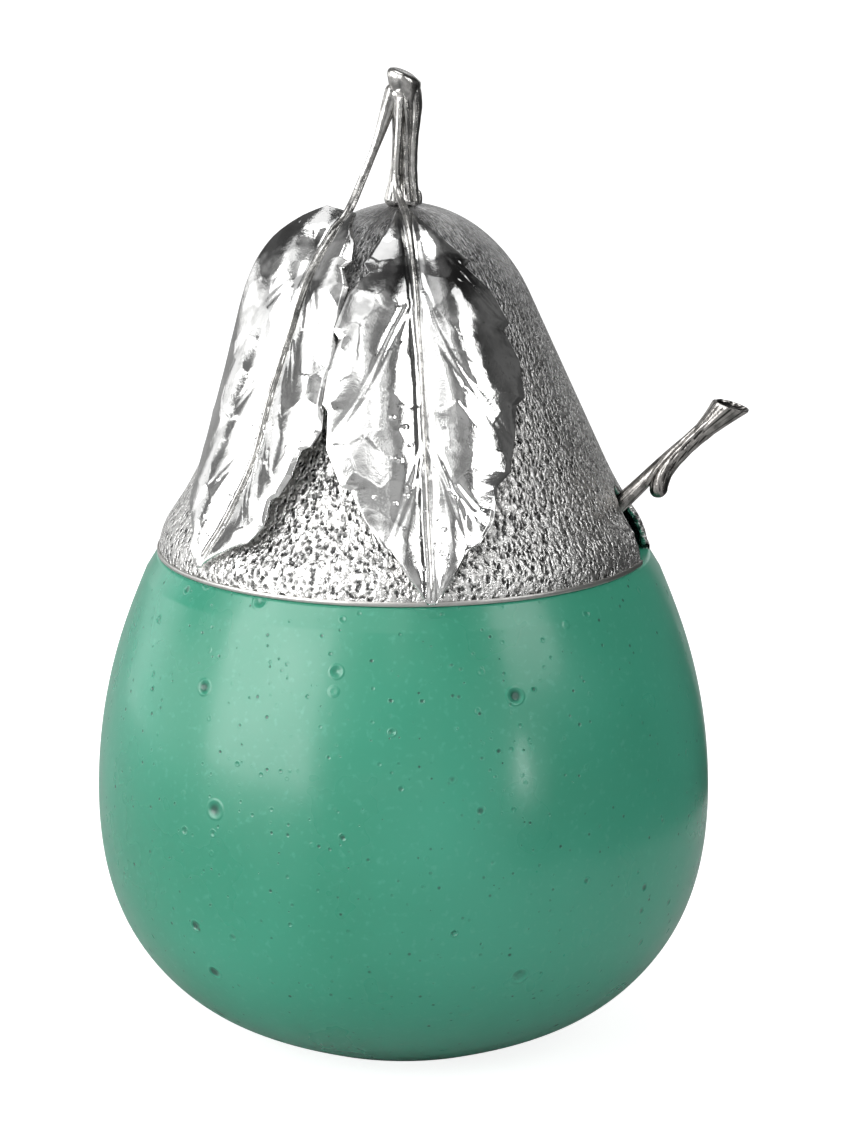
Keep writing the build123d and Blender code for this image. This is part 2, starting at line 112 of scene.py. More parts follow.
# Helpers
def spline(points, count):
    """A smooth curve through points, as evenly spaced samples."""
    points = np.array(points, float)
    steps = np.linalg.norm(np.diff(points, axis=0), axis=1)
    knots = np.concatenate([[0], np.cumsum(steps)])
    size = len(knots)
    system = np.eye(size)
    bends = np.zeros((size, points.shape[1]))
    for i in range(1, size - 1):
        before, after = steps[i - 1], steps[i]
        system[i, i - 1:i + 2] = before, 2 * (before + after), after
        rise = (points[i + 1] - points[i]) / after - (points[i] - points[i - 1]) / before
        bends[i] = 6 * rise
    bends = np.linalg.solve(system, bends)
    places = np.linspace(0, knots[-1], count)
    index = np.clip(np.searchsorted(knots, places, side="right") - 1, 0, size - 2)
    gap = steps[index][:, None]
    high = (places - knots[index])[:, None] / gap
    low = 1 - high
    bow = ((low**3 - low) * bends[index] + (high**3 - high) * bends[index + 1]) * gap**2 / 6
    return low * points[index] + high * points[index + 1] + bow


def arc(centre, radius, start, end, count):
    """Points on an arc of a section, with angles in degrees."""
    turns = np.radians(np.linspace(start, end, count))
    return np.stack([centre[0] + radius * np.cos(turns), centre[1] + radius * np.sin(turns)], 1)


def blurred(values, width):
    """Values along the first axis, smoothed over a number of samples."""
    reach = int(3 * width)
    kernel = np.exp(-0.5 * (np.arange(-reach, reach + 1) / width) ** 2)
    padded = np.pad(values, reach, mode="reflect", reflect_type="odd")
    return np.convolve(padded, kernel / kernel.sum(), mode="valid")


def grid_object(name, points, body, nodes, slot, material, wrap=(False, False), uv=None):
    """A smooth mesh of quads from a grid of points in millimetres."""
    rows, columns = points.shape[:2]
    index = np.arange(rows * columns).reshape(rows, columns)
    if wrap[0]:
        index = np.vstack([index, index[:1]])
    if wrap[1]:
        index = np.hstack([index, index[:, :1]])
    corners = (index[:-1, :-1], index[:-1, 1:], index[1:, 1:], index[1:, :-1])
    quads = np.stack(corners, -1).reshape(-1, 4)
    mesh = bpy.data.meshes.new(name)
    mesh.from_pydata((points.reshape(-1, 3) * MM).tolist(), [], quads.tolist())
    mesh.polygons.foreach_set("use_smooth", np.ones(len(quads), bool))
    if uv is not None:
        layer = mesh.uv_layers.new(name="metres")
        flat = (uv.reshape(-1, 2) * MM)[quads.reshape(-1)]
        layer.data.foreach_set("uv", flat.reshape(-1))
    return finish_object(name, mesh, body, nodes, material)


def finish_object(name, mesh, body, nodes, material):
    """An object that rides on a body and stands for CAD nodes."""
    weld(mesh)
    obj = bpy.data.objects.new(name, mesh)
    bpy.context.scene.collection.objects.link(obj)
    mesh.materials.append(material)
    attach(obj, body)
    if nodes:
        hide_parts(*nodes)
    return obj


def weld(mesh):
    """Joins points that lie on each other, such as at a pole, and turns faces outwards."""
    work = bmesh.new()
    work.from_mesh(mesh)
    bmesh.ops.remove_doubles(work, verts=work.verts, dist=WELD_DISTANCE)
    bmesh.ops.recalc_face_normals(work, faces=work.faces)
    work.to_mesh(mesh)
    work.free()


def revolved(profile, columns):
    """A grid of points from a section that turns about the axis."""
    turns = np.linspace(0, 2 * math.pi, columns, endpoint=False) + math.pi / 2
    radius, height = profile[:, 0, None], profile[:, 1, None]
    return np.stack([
        radius * np.cos(turns), radius * np.sin(turns), height + 0 * turns,
    ], -1)


def tube(path, radius, sides, ripple=None):
    """A grid of points around a path, closed to a point at both ends."""
    path = np.array(path, float)
    heading = np.gradient(path, axis=0)
    heading /= np.linalg.norm(heading, axis=1)[:, None]
    across = np.cross(heading[0], (0.3, 1, 0.2))
    turns = np.linspace(0, 2 * math.pi, sides, endpoint=False)
    rings = []
    for spot, ahead, size, row in zip(path, heading, radius, range(len(path))):
        across = across - ahead * across.dot(ahead)
        across /= np.linalg.norm(across)
        other = np.cross(ahead, across)
        size = size * (1 + (ripple[row] if ripple is not None else 0))
        ring = np.outer(np.cos(turns) * size, across) + np.outer(np.sin(turns) * size, other)
        rings.append(spot + ring)
    return np.array(rings)


def rounded_ends(radius, step):
    """Radii along a tube with both ends drawn in to a point."""
    radius = np.array(radius, float)
    count = len(radius)
    from_end = np.minimum(np.arange(count), np.arange(count)[::-1]) * step
    share = np.clip(from_end / radius, 0, 1)
    return radius * np.sqrt(np.clip(1 - (1 - share) ** 2, 0, 1))


def smoothed(rings, count, width):
    """Rings resampled to a count, smoothed along their length and pinched at both ends."""
    rings = np.array(rings)
    fine = np.linspace(0, len(rings) - 1, count)
    points = np.zeros((count, *rings.shape[1:]))
    for column in range(rings.shape[1]):
        for part in range(3):
            points[:, column, part] = np.interp(fine, range(len(rings)), rings[:, column, part])
    points = np.apply_along_axis(blurred, 0, points, width)
    for end in (0, -1):
        points[end] = points[end].mean(0) + (points[end] - points[end].mean(0)) * END_PINCH
    return points


# Materials
def shader(name, **inputs):
    """A new material and its Principled shader, with plain values set on its sockets."""
    material = bpy.data.materials.new(name)
    material.use_nodes = True
    tree = material.node_tree
    surface = tree.nodes["Principled BSDF"]
    for key, value in inputs.items():
        surface.inputs[key.replace("_", " ")].default_value = value
    return material, tree, surface


class Nodes:
    """Short calls for adding nodes to a material."""

    def __init__(self, tree):
        self.tree = tree

    def add(self, kind, inputs=(), **settings):
        node = self.tree.nodes.new(kind)
        for key, value in settings.items():
            setattr(node, key, value)
        for key, value in dict(inputs).items():
            if isinstance(value, bpy.types.NodeSocket):
                self.tree.links.new(value, node.inputs[key])
            else:
                node.inputs[key].default_value = value
        return node

    def math(self, operation, first, second=0.0, third=0.0, clamp=False):
        inputs = {0: first, 1: second, 2: third}
        return self.add("ShaderNodeMath", inputs, operation=operation, use_clamp=clamp).outputs[0]

    def step(self, value, low, high, to_low=0.0, to_high=1.0):
        """A smooth step from one value to another."""
        inputs = {0: value, 1: low, 2: high, 3: to_low, 4: to_high}
        node = self.add("ShaderNodeMapRange", inputs, interpolation_type="SMOOTHSTEP")
        return node.outputs[0]

    def mix(self, share, first, second):
        inputs = {0: share, 6: first, 7: second}
        return self.add("ShaderNodeMix", inputs, data_type="RGBA").outputs[2]

    def noise(self, where, scale, detail=2.0, roughness=0.5, distortion=0.0):
        inputs = {"Vector": where, "Scale": scale, "Detail": detail,
                  "Roughness": roughness, "Distortion": distortion}
        return self.add("ShaderNodeTexNoise", inputs).outputs[0]

    def cells(self, where, scale, feature="F1", randomness=1.0):
        inputs = {"Vector": where, "Scale": scale, "Randomness": randomness}
        return self.add("ShaderNodeTexVoronoi", inputs, feature=feature)

    def bump(self, height, distance, strength=1.0, normal=None):
        inputs = {"Height": height, "Distance": distance, "Strength": strength}
        if normal is not None:
            inputs["Normal"] = normal
        return self.add("ShaderNodeBump", inputs).outputs[0]


# Glaze pits: cells per metre, share of cells left whole, smallest and largest pit in a cell
PITS = ((100, 0.62, 0.05, 0.14), (230, 0.45, 0.06, 0.16), (620, 0.45, 0.10, 0.24))
PIT_DEPTH = 0.0006


def glaze():
    """Green satin glaze whose burst bubbles and fine pits are bump and colour only; the dark in the
    pits is painted shade.
    """
    material, tree, surface = shader("glaze", Roughness=0.3, IOR=1.5, Coat_Weight=0.35,
                                     Coat_Roughness=0.16)
    make = Nodes(tree)
    place = make.add("ShaderNodeTexCoord").outputs["Object"]
    depth = None
    dark = None
    for scale, share, small, large in PITS:
        cell = make.cells(place, scale)
        pick = make.add("ShaderNodeSeparateColor", {0: cell.outputs["Color"]}).outputs
        size = make.step(pick[1], 0.0, 1.0, small, large)
        held = make.math("GREATER_THAN", pick[0], share)
        near = make.math("DIVIDE", cell.outputs["Distance"], size)
        pit = make.math("MULTIPLY", make.step(near, 1.0, 0.35), held)
        off_lip = make.math("ABSOLUTE", make.math("SUBTRACT", near, 1.15))
        lip = make.math("MULTIPLY", make.step(off_lip, 0.3, 0.0), held)
        shape = make.math("MULTIPLY_ADD", pit, -1.0, make.math("MULTIPLY", lip, 0.25))
        shape = make.math("MULTIPLY", shape, 60 / scale)
        depth = shape if depth is None else make.math("ADD", depth, shape)
        # Painted shade: the pits are coloured dark, as shade in the recesses.
        spot = make.math("MULTIPLY", pit, make.step(pick[2], 0.2, 0.9, 0.25, 1.0))
        dark = spot if dark is None else make.math("MAXIMUM", dark, spot)
    broad = make.noise(place, 16, 2)
    fine = make.noise(place, 900, 2)
    green = make.mix(make.step(broad, 0.35, 0.65), (0.035, 0.30, 0.185, 1), (0.055, 0.37, 0.245, 1))
    flecks = make.math("MULTIPLY", make.step(fine, 0.55, 0.8), 0.35)
    green = make.mix(flecks, green, (0.11, 0.46, 0.33, 1))
    # Near-black green of the painted shade in the pits
    painted_pit_shade = (0.012, 0.05, 0.04, 1)
    colour = make.mix(make.math("MULTIPLY", dark, 0.85), green, painted_pit_shade)
    tree.links.new(colour, surface.inputs["Base Color"])
    rough = make.step(make.noise(place, 60, 3), 0.3, 0.7, 0.26, 0.36)
    tree.links.new(rough, surface.inputs["Roughness"])
    wave = make.noise(place, 70, 2)
    soft = make.bump(wave, PIT_DEPTH, 0.25)
    tree.links.new(make.bump(depth, PIT_DEPTH, 0.8, soft), surface.inputs["Normal"])
    tree.links.new(make.bump(depth, PIT_DEPTH, 0.8), surface.inputs["Coat Normal"])
    return material


def lid_metal():
    """White metal sheet with a fine grain, as bump, with painted shade in its dents and towards the
    top.
    """
    material, tree, surface = shader("lid_plate", Metallic=1.0, Roughness=0.34)
    make = Nodes(tree)
    coords = make.add("ShaderNodeTexCoord")
    place, flat = coords.outputs["Object"], coords.outputs["UV"]
    bend = make.noise(place, 90, 1)
    stretched = make.add("ShaderNodeMapping", {0: flat, 3: (1.0, 0.62, 1.0)}).outputs[0]
    drift = make.add("ShaderNodeTexNoise", {"Vector": place, "Scale": 700.0}).outputs[1]
    shift = make.add("ShaderNodeVectorMath", {0: drift, 3: 0.0011}, operation="SCALE").outputs[0]
    warped = make.add("ShaderNodeVectorMath", {0: stretched, 1: shift}, operation="ADD").outputs[0]
    cell = make.cells(warped, 1450, "F1")
    dent = make.step(cell.outputs["Distance"], 0.12, 0.62)
    grain = make.noise(warped, 1300, 3, 0.55)
    height = make.math("MULTIPLY_ADD", grain, 1.5, make.math("MULTIPLY", dent, 0.8))
    height = make.math("ADD", height, make.math("MULTIPLY", bend, 0.5))
    # Painted shade: the dents are coloured near black, as shade in them.
    painted_dent_shade = make.step(height, 1.5, 0.98)
    colour = make.mix(painted_dent_shade, (0.80, 0.795, 0.78, 1), (0.10, 0.10, 0.10, 1))
    rise = make.add("ShaderNodeSeparateXYZ", {0: place}).outputs[2]
    # Painted shade: darker towards the top of the lid, as the shade between the leaves and stem.
    painted_top_shade = make.math("MULTIPLY", make.step(rise, 0.108, 0.135), 0.75)
    colour = make.mix(painted_top_shade, colour, (0.26, 0.26, 0.265, 1))
    tree.links.new(colour, surface.inputs["Base Color"])
    tree.links.new(make.step(grain, 0.3, 0.7, 0.2, 0.34), surface.inputs["Roughness"])
    tree.links.new(make.bump(height, 0.00034, 1.0), surface.inputs["Normal"])
    return material


def leaf_metal():
    """Polished plate with fine scratches, soft dark patches towards the top and small dings."""
    material, tree, surface = shader("leaf_plate", Metallic=1.0, Roughness=0.16)
    make = Nodes(tree)
    place = make.add("ShaderNodeTexCoord").outputs["Object"]
    cloud = make.noise(place, 170, 3, 0.6)
    colour = make.mix(make.step(cloud, 0.3, 0.5), (0.66, 0.66, 0.65, 1), (0.92, 0.92, 0.91, 1))
    rise = make.add("ShaderNodeSeparateXYZ", {0: place}).outputs[2]
    # Dark patches that grow towards the top of the leaf.
    upper_dark_patches = make.step(make.noise(place, 110, 3, 0.6), 0.40, 0.52)
    upper_dark_patches = make.math("MULTIPLY", upper_dark_patches, make.step(rise, 0.112, 0.134, 0.0, 0.9))
    colour = make.mix(upper_dark_patches, colour, (0.17, 0.17, 0.17, 1))
    speck = make.step(make.noise(place, 1500, 3, 0.7), 0.62, 0.72)
    colour = make.mix(make.math("MULTIPLY", speck, 0.5), colour, (0.2, 0.2, 0.2, 1))
    tree.links.new(colour, surface.inputs["Base Color"])
    tree.links.new(make.step(cloud, 0.3, 0.7, 0.15, 0.06), surface.inputs["Roughness"])
    dings = make.noise(place, 800, 4, 0.65)
    tree.links.new(make.bump(dings, 0.00006, 0.7), surface.inputs["Normal"])
    return material


def twig_metal(name, light, shade, roughness):
    """Cast plate with painted shade in its grooves."""
    material, tree, surface = shader(name, Metallic=1.0, Roughness=roughness)
    make = Nodes(tree)
    place = make.add("ShaderNodeTexCoord").outputs["Object"]
    # Painted shade: grooves, found from pointiness, take the shade colour.
    painted_groove_shade = make.step(make.add("ShaderNodeNewGeometry").outputs["Pointiness"], 0.49, 0.505)
    cloud = make.noise(place, 500, 3, 0.6)
    share = make.math("MULTIPLY", painted_groove_shade, make.step(cloud, 0.3, 0.6, 0.35, 1.0))
    tree.links.new(make.mix(share, shade, light), surface.inputs["Base Color"])
    skin = make.noise(place, 1300, 4, 0.6)
    tree.links.new(make.bump(skin, 0.0001, 0.8), surface.inputs["Normal"])
    return material


def plain_metal():
    """Turned and brushed plate for the pieces inside the lid."""
    material, tree, surface = shader("inner_plate", Metallic=1.0, Roughness=0.38)
    make = Nodes(tree)
    place = make.add("ShaderNodeTexCoord").outputs["Object"]
    cloud = make.noise(place, 300, 3, 0.6)
    tree.links.new(make.mix(cloud, (0.5, 0.49, 0.47, 1), (0.72, 0.71, 0.69, 1)),
                   surface.inputs["Base Color"])
    tree.links.new(make.bump(make.noise(place, 2000, 2), 0.00004, 0.6), surface.inputs["Normal"])
    return material


# Pot
def pot():
    """The glazed bowl, from the middle of its foot over the lip to the middle of its floor."""
    outer = spline([(FOOT_RADIUS, 0), HEEL, LOWER, BELLY, UPPER, (SEAT_RADIUS, SEAT_HEIGHT)],
                   OUTER_SAMPLES)
    heading = np.gradient(outer, axis=0)
    heading /= np.linalg.norm(heading, axis=1)[:, None]
    wall = outer + POT_WALL * np.stack([-heading[:, 1], heading[:, 0]], 1)
    inside = [(0, FLOOR), (FOOT_RADIUS, FLOOR)]
    inside += [tuple(wall[int(share * (OUTER_SAMPLES - 1))])
               for share in (0.3, 0.4, 0.5, 0.6, 0.7, 0.8)]
    inside.append((NECK_INNER, SEAT_HEIGHT - SHOULDER))
    inner = spline(inside, INNER_SAMPLES)[::-1]
    inner[-1, 0] = 0
    below_seat = outer[:, 1] < SEAT_HEIGHT - 1.2 * SEAT_ROUND
    body = spline(outer[below_seat][::12], BODY_SAMPLES)
    top = arc((SEAT_RADIUS - SEAT_ROUND - 0.25, SEAT_HEIGHT - SEAT_ROUND), SEAT_ROUND, 15, 90, 8)
    seat = np.linspace((SEAT_RADIUS - 1.6, SEAT_HEIGHT), (NECK_OUTER + 0.8, SEAT_HEIGHT), 8)
    root = arc((NECK_OUTER + 0.6, SEAT_HEIGHT + 0.6), 0.6, 270, 180, 6)
    lip = arc((NECK_OUTER - LIP_RADIUS, SEAT_HEIGHT + NECK_RISE), LIP_RADIUS, 0, 180, 16)
    neck = np.linspace((NECK_INNER, SEAT_HEIGHT + 1), (NECK_INNER, SEAT_HEIGHT - 5.5), 8)
    foot = np.linspace((0, 0), (FOOT_RADIUS - 0.5, 0), 14)
    profile = np.concatenate([foot, body, top, seat, root, lip, neck, inner])
    points = revolved(profile, POT_COLUMNS)
    grid_object("pot_glazed", points, "pot", ["pot"], "glaze", glaze(), (False, True))


# Lid
def lid_skin(rise):
    """Radius of the lid's skin at rises above the seat, with its outward normal."""
    rise = np.asarray(rise, float)
    roll = np.clip(rise, 0, FLARE_RISE) / ROLL_RADIUS
    flare = ROLL_SINE - np.clip(rise - FLARE_RISE, 0, CONE_RISE - FLARE_RISE) / FLARE_RADIUS
    level = np.clip((rise - CROWN_MIDDLE) / CROWN_TALL, 0, 0.99999)
    crown = CROWN_WIDE * np.sqrt(1 - level**2)
    slope = level / CROWN_TALL
    parts = [rise <= FLARE_RISE, rise <= CONE_RISE, rise <= CONE_TOP]
    radius = np.select(parts, [
        RIM_RADIUS - ROLL_RADIUS * (1 - np.sqrt(1 - roll**2)),
        FLARE_START - FLARE_RADIUS * (np.sqrt(1 - flare**2) - ROLL_COSINE),
        CONE_START - (rise - CONE_RISE) * CONE_SLOPE,
    ], crown)
    lean = np.select(parts, [roll, flare, CONE_SINE + 0 * rise],
                     slope / np.hypot(slope, crown / CROWN_WIDE**2))
    return radius, np.sqrt(1 - lean**2), lean


def lid():
    """The raised sheet: outer skin, hole for the stud and inner skin, cut by the notch."""
    turn = np.linspace(0, 2 * math.pi, LID_COLUMNS, endpoint=False)
    # Columns stand closer together at the notch
    turn = turn - 0.78 * np.sin(turn) * np.exp(-(1 - np.cos(turn)) * 1.4)
    turn = turn + NOTCH_TURN
    share = np.linspace(0, 1, LID_ROWS)[:, None]
    foot = np.zeros(LID_COLUMNS)
    for _ in range(12):
        reach = lid_skin(foot)[0] * np.sin(turn - NOTCH_TURN)
        ahead = np.cos(turn - NOTCH_TURN) > 0
        inside = np.clip(1 - (reach / NOTCH_HALF_WIDTH) ** 2, 0, 1)
        foot = np.where(ahead, NOTCH_HEIGHT * np.sqrt(inside), 0)
    rise = foot + (FLAT_RISE - foot) * (1 - (1 - share) ** 1.35)
    skins = []
    for depth in (0, LID_SHEET):
        radius, outward, upward = lid_skin(rise)
        reach = radius - depth * outward
        height = SEAT_HEIGHT + rise - depth * upward
        if depth:
            height = np.maximum(height, SEAT_HEIGHT)
        skins.append(np.stack([reach * np.cos(turn), reach * np.sin(turn), height], -1))
    ring = STUD_HOLE * np.cos(turn), STUD_HOLE * np.sin(turn)
    hole = [np.stack([*ring, skin[-1, :, 2]], -1) for skin in skins]
    points = np.concatenate([skins[0], [hole[0]], [hole[1]], skins[1][::-1]])
    rows_up = np.concatenate([rise, rise[-1:], rise[-1:], rise[::-1]])
    uv = np.stack([np.broadcast_to(turn * 30, rows_up.shape), rows_up * 1.1], -1)
    grid_object("lid_skin", points, "lid", ["lid_shell"], "plate", lid_metal(), (True, True), uv)


def lid_band():
    """The plain band around the rim, open at the notch."""
    half = math.asin(NOTCH_HALF_WIDTH / RIM_RADIUS)
    turn = np.linspace(half, 2 * math.pi - half, BAND_STATIONS) + NOTCH_TURN
    section = np.array([(0.02, 0), (0.2, 0), (BAND_THICKNESS, 0.1), (BAND_THICKNESS, 0.7),
                        (0.2, BAND_HEIGHT), (0.02, BAND_HEIGHT)])
    reach = RIM_RADIUS + section[:, 0]
    height = SEAT_HEIGHT + section[:, 1]
    rings = [np.stack([reach * math.cos(angle), reach * math.sin(angle), height], -1)
             for angle in turn]
    grid_object("lid_band", np.array(rings), "lid", ["lid_rim_band"], "plate", plain_metal(),
                (False, True))


# Leaves, placed by the rise, turn and standoff of base and tip. The left edge of the left leaf
# is wider near its base than in the solid; the other outlines are the solids' own.
SHEET = 0.8
LEAF_START = 2.0
LEAF_ROWS = 330
LEAF_COLUMNS = 128
VEIN_SAMPLES = 60
FACETS = 150
WAVES = 7
PIPS = 26
FAR_OFF = 99.0
RIB_SAMPLES = 260
RIB_SIDES = 28
LEAF_SINK = 0.1
EDGE_THICKNESS = 0.32
EDGE_OUT = 0.12
LEAVES = {
    "front": {
        "base": (57.3, -3.5, 1.3),
        "tip": (1.2, 6.3, 1.3),
        "midrib": ((0, 0), (34, 0.3), (69, 0)),
        "left": ((2, 1.2), (5.1, 2.5), (9.7, 5.5), (12.9, 7.8), (14.6, 7.3), (18.4, 10.7),
                 (23.9, 13.5), (25.6, 12.6), (30.5, 14.6), (35.7, 15.7), (37, 14.9),
                 (43, 15.5), (49, 13.6), (50, 12), (54.9, 10), (59.5, 7.4), (60.4, 6),
                 (64.6, 3.8), (68.5, 0.7)),
        "right": ((2, 1), (3.7, 1.8), (7.7, 4.7), (12.5, 9.4), (13.6, 8.6), (17.4, 12.6),
                  (22.3, 15.5), (23.5, 14.4), (28.2, 16.8), (34.5, 17.3), (36.1, 15.7),
                  (41.6, 15.1), (47.4, 13.9), (49.7, 11.7), (55.4, 10.7), (59.4, 8.1),
                  (60.4, 6.1), (63.8, 4.3), (68.5, 0.7)),
        "left_lift": ((0, 1.6), (10, 3.2), (24, 5.5), (38, 5.3), (60, 2.8), (70, 1.4)),
        "right_lift": ((0, 1.6), (12, 2.6), (58, 2.6), (70, 1.4)),
        "rolled": (0.05, 0.08),
        "chased": 0.6,
        "veins": (((15, 0.2), (29, 4.9), (42.5, 14.6)), ((41.5, 0.3), (50, 3.6), (59.6, 6.3)),
                  ((18.6, 0), (27, -5), (33.4, -8.3), (42, -15)),
                  ((43, 0), (49.5, -2.3), (60, -6.7)), ((12.5, 5.9), (17, 9.8), (22, 15.2)),
                  ((49.6, 4.4), (53, 7), (56, 10)), ((31, 0.8), (38, 1.6), (44, 3))),
    },
    "left": {
        "base": (56.1, -70.0, 2.9),
        "tip": (2.5, -53.6, 1.5),
        "midrib": ((0, 0), (7.3, 2.7), (18.9, 3.9), (32.6, 3), (49.2, 3.7), (60, 2.1), (65, 0)),
        "left": ((1, 2), (4.3, 3.8), (7.1, 5.2), (10.2, 6.8), (14.2, 8.6), (18.9, 10.4),
                 (28.6, 12.2), (38.7, 14), (45.3, 12.9), (51.2, 11.6), (54.5, 9.8),
                 (57.4, 6.4), (59.4, 3.9), (61.8, 3.4), (64.6, 0.6)),
        "right": ((1, 1.5), (2, 3.3), (5, 5.7), (7.5, 8.5), (10.6, 10.2), (12, 9.5),
                  (14.9, 12.1), (22.2, 13.6), (30.3, 14.9), (38.5, 17.6), (41.4, 17),
                  (42.4, 15.6), (46.9, 15.5), (50.5, 14.1), (51.4, 12.6), (55.6, 12.7),
                  (59, 10.4), (60.2, 7.6), (64.6, 0.7)),
        "left_lift": ((0, 3.2), (10, 7), (19, 5.8), (29, 4), (40, 1.8), (52, 1.4), (66, 1.4)),
        "right_lift": ((0, 2.4), (30, 3.4), (40, 5), (48, 4.8), (58, 3), (66, 1.5)),
        "rolled": (0.05, 0.05),
        "chased": 0.3,
        "veins": (((14, 3.4), (22, -3), (38, -13.5)), ((26, 3.4), (38, -3), (50, -11.5)),
                  ((10, 3), (22, 9), (31, 14.6)), ((22, 3.8), (34, 9), (41.4, 16)),
                  ((34, 3.1), (43, 8), (51, 13)), ((43, 3.4), (51, 7), (59.4, 9.8)),
                  ((42, 3.4), (50, -1.5), (57.2, -6))),
    },
}
MIDRIB_LIFT = ((0, 1.4), (6, 2.1), (56, 2.1), (70, 1.4))


def off_lid(rise, turn, standoff):
    """The point at a turn from -Y that stands off the lid's skin."""
    radius, outward, upward = (float(part) for part in lid_skin(rise))
    reach = radius + standoff * outward
    turn = math.radians(turn)
    return np.array([reach * math.sin(turn), -reach * math.cos(turn),
                     SEAT_HEIGHT + rise + standoff * upward])


def height_off_lid(points):
    """How far points outside the lid stand off its skin."""
    reach = np.hypot(points[..., 0], points[..., 1])
    above = points[..., 2] - SEAT_HEIGHT
    low, high = np.zeros_like(reach), np.full_like(reach, FLAT_RISE)
    for _ in range(16):
        middle = (low + high) / 2
        radius, outward, upward = lid_skin(middle)
        below = (above - middle) * outward > (reach - radius) * upward
        low, high = np.where(below, middle, low), np.where(below, high, middle)
    return (reach - radius) * outward + (above - middle) * upward


def leaf_axes(leaf):
    """A leaf's base and its own X (to the tip), Y (to the side) and Z (off the lid)."""
    base = off_lid(*leaf["base"])
    run = off_lid(*leaf["tip"]) - base
    run /= np.linalg.norm(run)
    side = np.cross((0, 0, 1), run)
    side /= np.linalg.norm(side)
    return base, np.stack([run, side, np.cross(run, side)])


def on_lid(axes, place, side, lift):
    """Heights in a leaf's axes at which points stand off the lid by a lift."""
    base, frame_axes = axes
    low, high = np.full_like(place, -40.0), np.full_like(place, 40.0)
    for _ in range(18):
        middle = (low + high) / 2
        points = base + np.stack([place, side, middle], -1) @ frame_axes
        short = height_off_lid(points) < lift
        low, high = np.where(short, middle, low), np.where(short, high, middle)
    return middle


def read(pairs, places):
    """Second values of pairs, read off in straight lines."""
    return np.interp(places, [pair[0] for pair in pairs], [pair[1] for pair in pairs])


def leaf_surface(leaf, rows, columns):
    """Places, sides and heights of a leaf's face on a grid from edge to edge."""
    axes = leaf_axes(leaf)
    length = leaf["left"][-1][0]
    place = np.linspace(LEAF_START, length, rows)
    even = length / rows
    centre = blurred(read(leaf["midrib"], place), 3 / even)
    across = np.sin(np.linspace(-math.pi / 2, math.pi / 2, columns))
    across = 0.6 * across + 0.4 * np.linspace(-1, 1, columns)
    grid_place = np.repeat(place[:, None], columns, 1)
    side = np.zeros_like(grid_place)
    lift = np.zeros_like(grid_place)
    ridge = blurred(read(MIDRIB_LIFT, place), 2 / even)
    for sign, name in ((-1, "left"), (1, "right")):
        edge = sign * read(leaf[name], place)
        edge = np.where(sign * (edge - centre) < SHEET, centre + sign * SHEET, edge)
        smooth = blurred(edge, 2.2 / even)
        rim_lift = blurred(read(leaf[name + "_lift"], place), 3 / even)
        share = np.clip(sign * across, 0, 1)
        span = smooth - centre
        own = centre[:, None] + span[:, None] * share + (edge - smooth)[:, None] * share**6
        raised = ridge[:, None] + (rim_lift - ridge)[:, None] * share
        raised = raised + 4 * leaf["rolled"][sign > 0] * np.abs(span)[:, None] * share * (1 - share)
        chosen = (sign * across > 0)[None, :] | ((across == 0)[None, :] & (sign > 0))
        side = np.where(chosen, own, side)
        lift = np.where(chosen, raised, lift)
    coarse_rows = np.linspace(0, rows - 1, 60).astype(int)
    height = np.zeros_like(side)
    coarse = on_lid(axes, grid_place[coarse_rows], side[coarse_rows], lift[coarse_rows])
    for column in range(columns):
        height[:, column] = np.interp(place, place[coarse_rows], coarse[:, column])
    height = np.apply_along_axis(blurred, 0, height, 0.8 / even)
    return axes, grid_place, side, height, centre


def leaf_relief(leaf, place, side, centre, seed):
    """Chased veins, pillows between them, planished facets and small pips."""
    rng = np.random.default_rng(seed)
    near = np.full(place.shape, FAR_OFF)
    relief = np.zeros_like(place)
    for points in leaf["veins"]:
        line = spline(points, VEIN_SAMPLES)
        gap = np.full(place.shape, FAR_OFF)
        share = np.zeros_like(place)
        for index, (x, y) in enumerate(line):
            distance = np.hypot(place - x, side - y)
            closer = distance < gap
            gap = np.where(closer, distance, gap)
            share = np.where(closer, index / len(line), share)
        fade = np.clip(1.15 - share, 0.25, 1) * np.clip(share * 8, 0, 1)
        ridge = 0.2 * np.exp(-(gap / 0.28) ** 2) - 0.16 * np.exp(-((gap - 0.65) / 0.35) ** 2)
        relief += leaf["chased"] * fade * ridge
        near = np.minimum(near, gap + 3 * (1 - leaf["chased"]))
    off_rib = np.abs(side - centre[:, None])
    near = np.minimum(near, off_rib)
    relief += 0.36 * (1 - np.exp(-(near / 3.4) ** 2))
    relief -= 0.22 * np.exp(-((off_rib - 0.9) / 0.5) ** 2)
    length = place.max()
    seeds = np.stack([rng.uniform(0, length, FACETS), rng.uniform(-18, 20, FACETS)], 1)
    sizes = rng.uniform(0.4, 1.3, FACETS)
    first = np.full(place.shape, FAR_OFF)
    depth = np.zeros_like(place)
    for (x, y), size in zip(seeds, sizes):
        distance = np.hypot(place - x, side - y)
        closer = distance < first
        first = np.where(closer, distance, first)
        depth = np.where(closer, size, depth)
    relief += 0.012 * depth * np.minimum(first, 3.2) ** 2
    for _ in range(WAVES):
        turn = rng.uniform(0, 2 * math.pi)
        wave = rng.uniform(0.14, 0.42)
        phase = rng.uniform(0, 2 * math.pi)
        relief += 0.13 * np.sin(wave * (place * math.cos(turn) + side * math.sin(turn)) + phase)
    for _ in range(PIPS):
        x = rng.uniform(0.55, 0.93) * length
        y = centre[np.searchsorted(place[:, 0], x)] + rng.normal(0, 3.4)
        size = rng.uniform(0.22, 0.4)
        distance = np.hypot(place - x, side - y)
        relief += 0.6 * size * np.sqrt(np.clip(1 - (distance / size) ** 2, 0, 1))
    return relief


